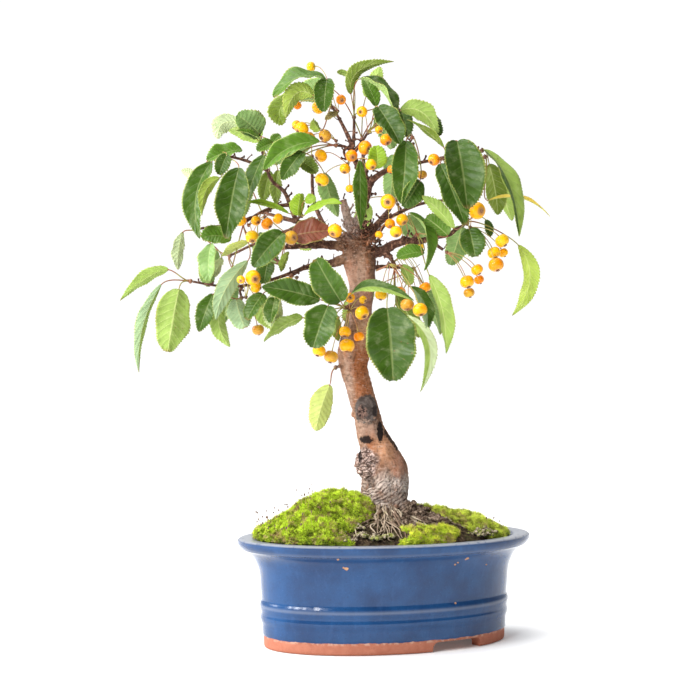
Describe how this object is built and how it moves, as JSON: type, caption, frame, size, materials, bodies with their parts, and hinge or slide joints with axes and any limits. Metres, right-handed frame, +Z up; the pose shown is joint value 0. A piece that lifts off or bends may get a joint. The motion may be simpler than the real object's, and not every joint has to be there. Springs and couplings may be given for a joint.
{
  "type": "crabapple bonsai",
  "caption": "Potted crabapple bonsai: a leaning trunk with drooping toothed leaves and hanging bunches of small yellow fruit, in an oval glazed pot on a slotted foot.",
  "frame": {"origin": "on the resting surface, under the middle of the plant's outer box", "axes": "+Z up along the trunk, -Y towards the tree's front, +X to the right of that front"},
  "size_m": [0.4148, 0.2174, 0.5838],
  "materials": {
    "pot_glaze": "mottled cobalt blue stoneware glaze over a bare terracotta foot",
    "screen": "black plastic mesh over the drain holes",
    "soil": "dark granular soil",
    "moss": "bright yellow-green cushion moss",
    "bark": "smooth pinkish brown bark with grey scars and black patches",
    "leaf": "satin green upper side, paler matt underside",
    "red_leaf": "dull maroon autumn leaf",
    "yellow_leaf": "yellow withered leaf with a brown edge",
    "fruit": "waxy yellow-orange skin with a brown calyx ring and green-red stalks"
  },
  "bodies": {
    "root": {"pot": "pot_glaze", "drain_screen_1": "screen", "drain_screen_2": "screen", "soil": "soil", "moss_left": "moss", "moss_right": "moss", "moss_front": "moss", "tree_wood": "bark", "leaves_crown_left": "leaf", "leaves_crown_top": "leaf", "leaves_crown_right": "leaf", "leaves_leader_front": "leaf", "leaves_side_left": "leaf", "leaves_left_up": "leaf", "leaves_left_high": "leaf", "leaves_left_out": "leaf", "leaves_left_fruit": "leaf", "leaves_left_mid": "leaf", "leaves_left_end": "leaf", "leaves_left_low": "leaf", "leaves_left_hook": "leaf", "leaves_trunk_front": "leaf", "leaves_trunk_low": "leaf", "leaves_right_under": "leaf", "leaves_right_mid": "leaf", "leaves_right_end": "leaf", "leaves_right_high": "leaf", "leaves_right_far": "leaf", "leaves_right_top": "leaf", "leaves_far_left": "leaf", "leaves_back_right": "leaf", "leaves_back_right_far": "leaf", "leaves_back_left": "leaf", "leaves_back_left_low": "leaf", "leaves_back_left_high": "leaf", "leaves_back_low": "leaf", "leaves_back_top": "leaf", "leaf_red": "red_leaf", "leaf_yellow": "yellow_leaf", "fruit_crown_left": "fruit", "fruit_crown_right": "fruit", "fruit_side_left": "fruit", "fruit_leader": "fruit", "fruit_right_top": "fruit", "fruit_right_high": "fruit", "fruit_right_end": "fruit", "fruit_right_low": "fruit", "fruit_right_under": "fruit", "fruit_junction_right": "fruit", "fruit_junction_front": "fruit", "fruit_trunk_front": "fruit", "fruit_left_end": "fruit", "fruit_left_hook": "fruit", "fruit_left_fruit": "fruit", "fruit_left_low": "fruit", "fruit_back_right": "fruit", "fruit_back_left": "fruit", "fruit_back_low": "fruit"}
  },
  "joints": []
}
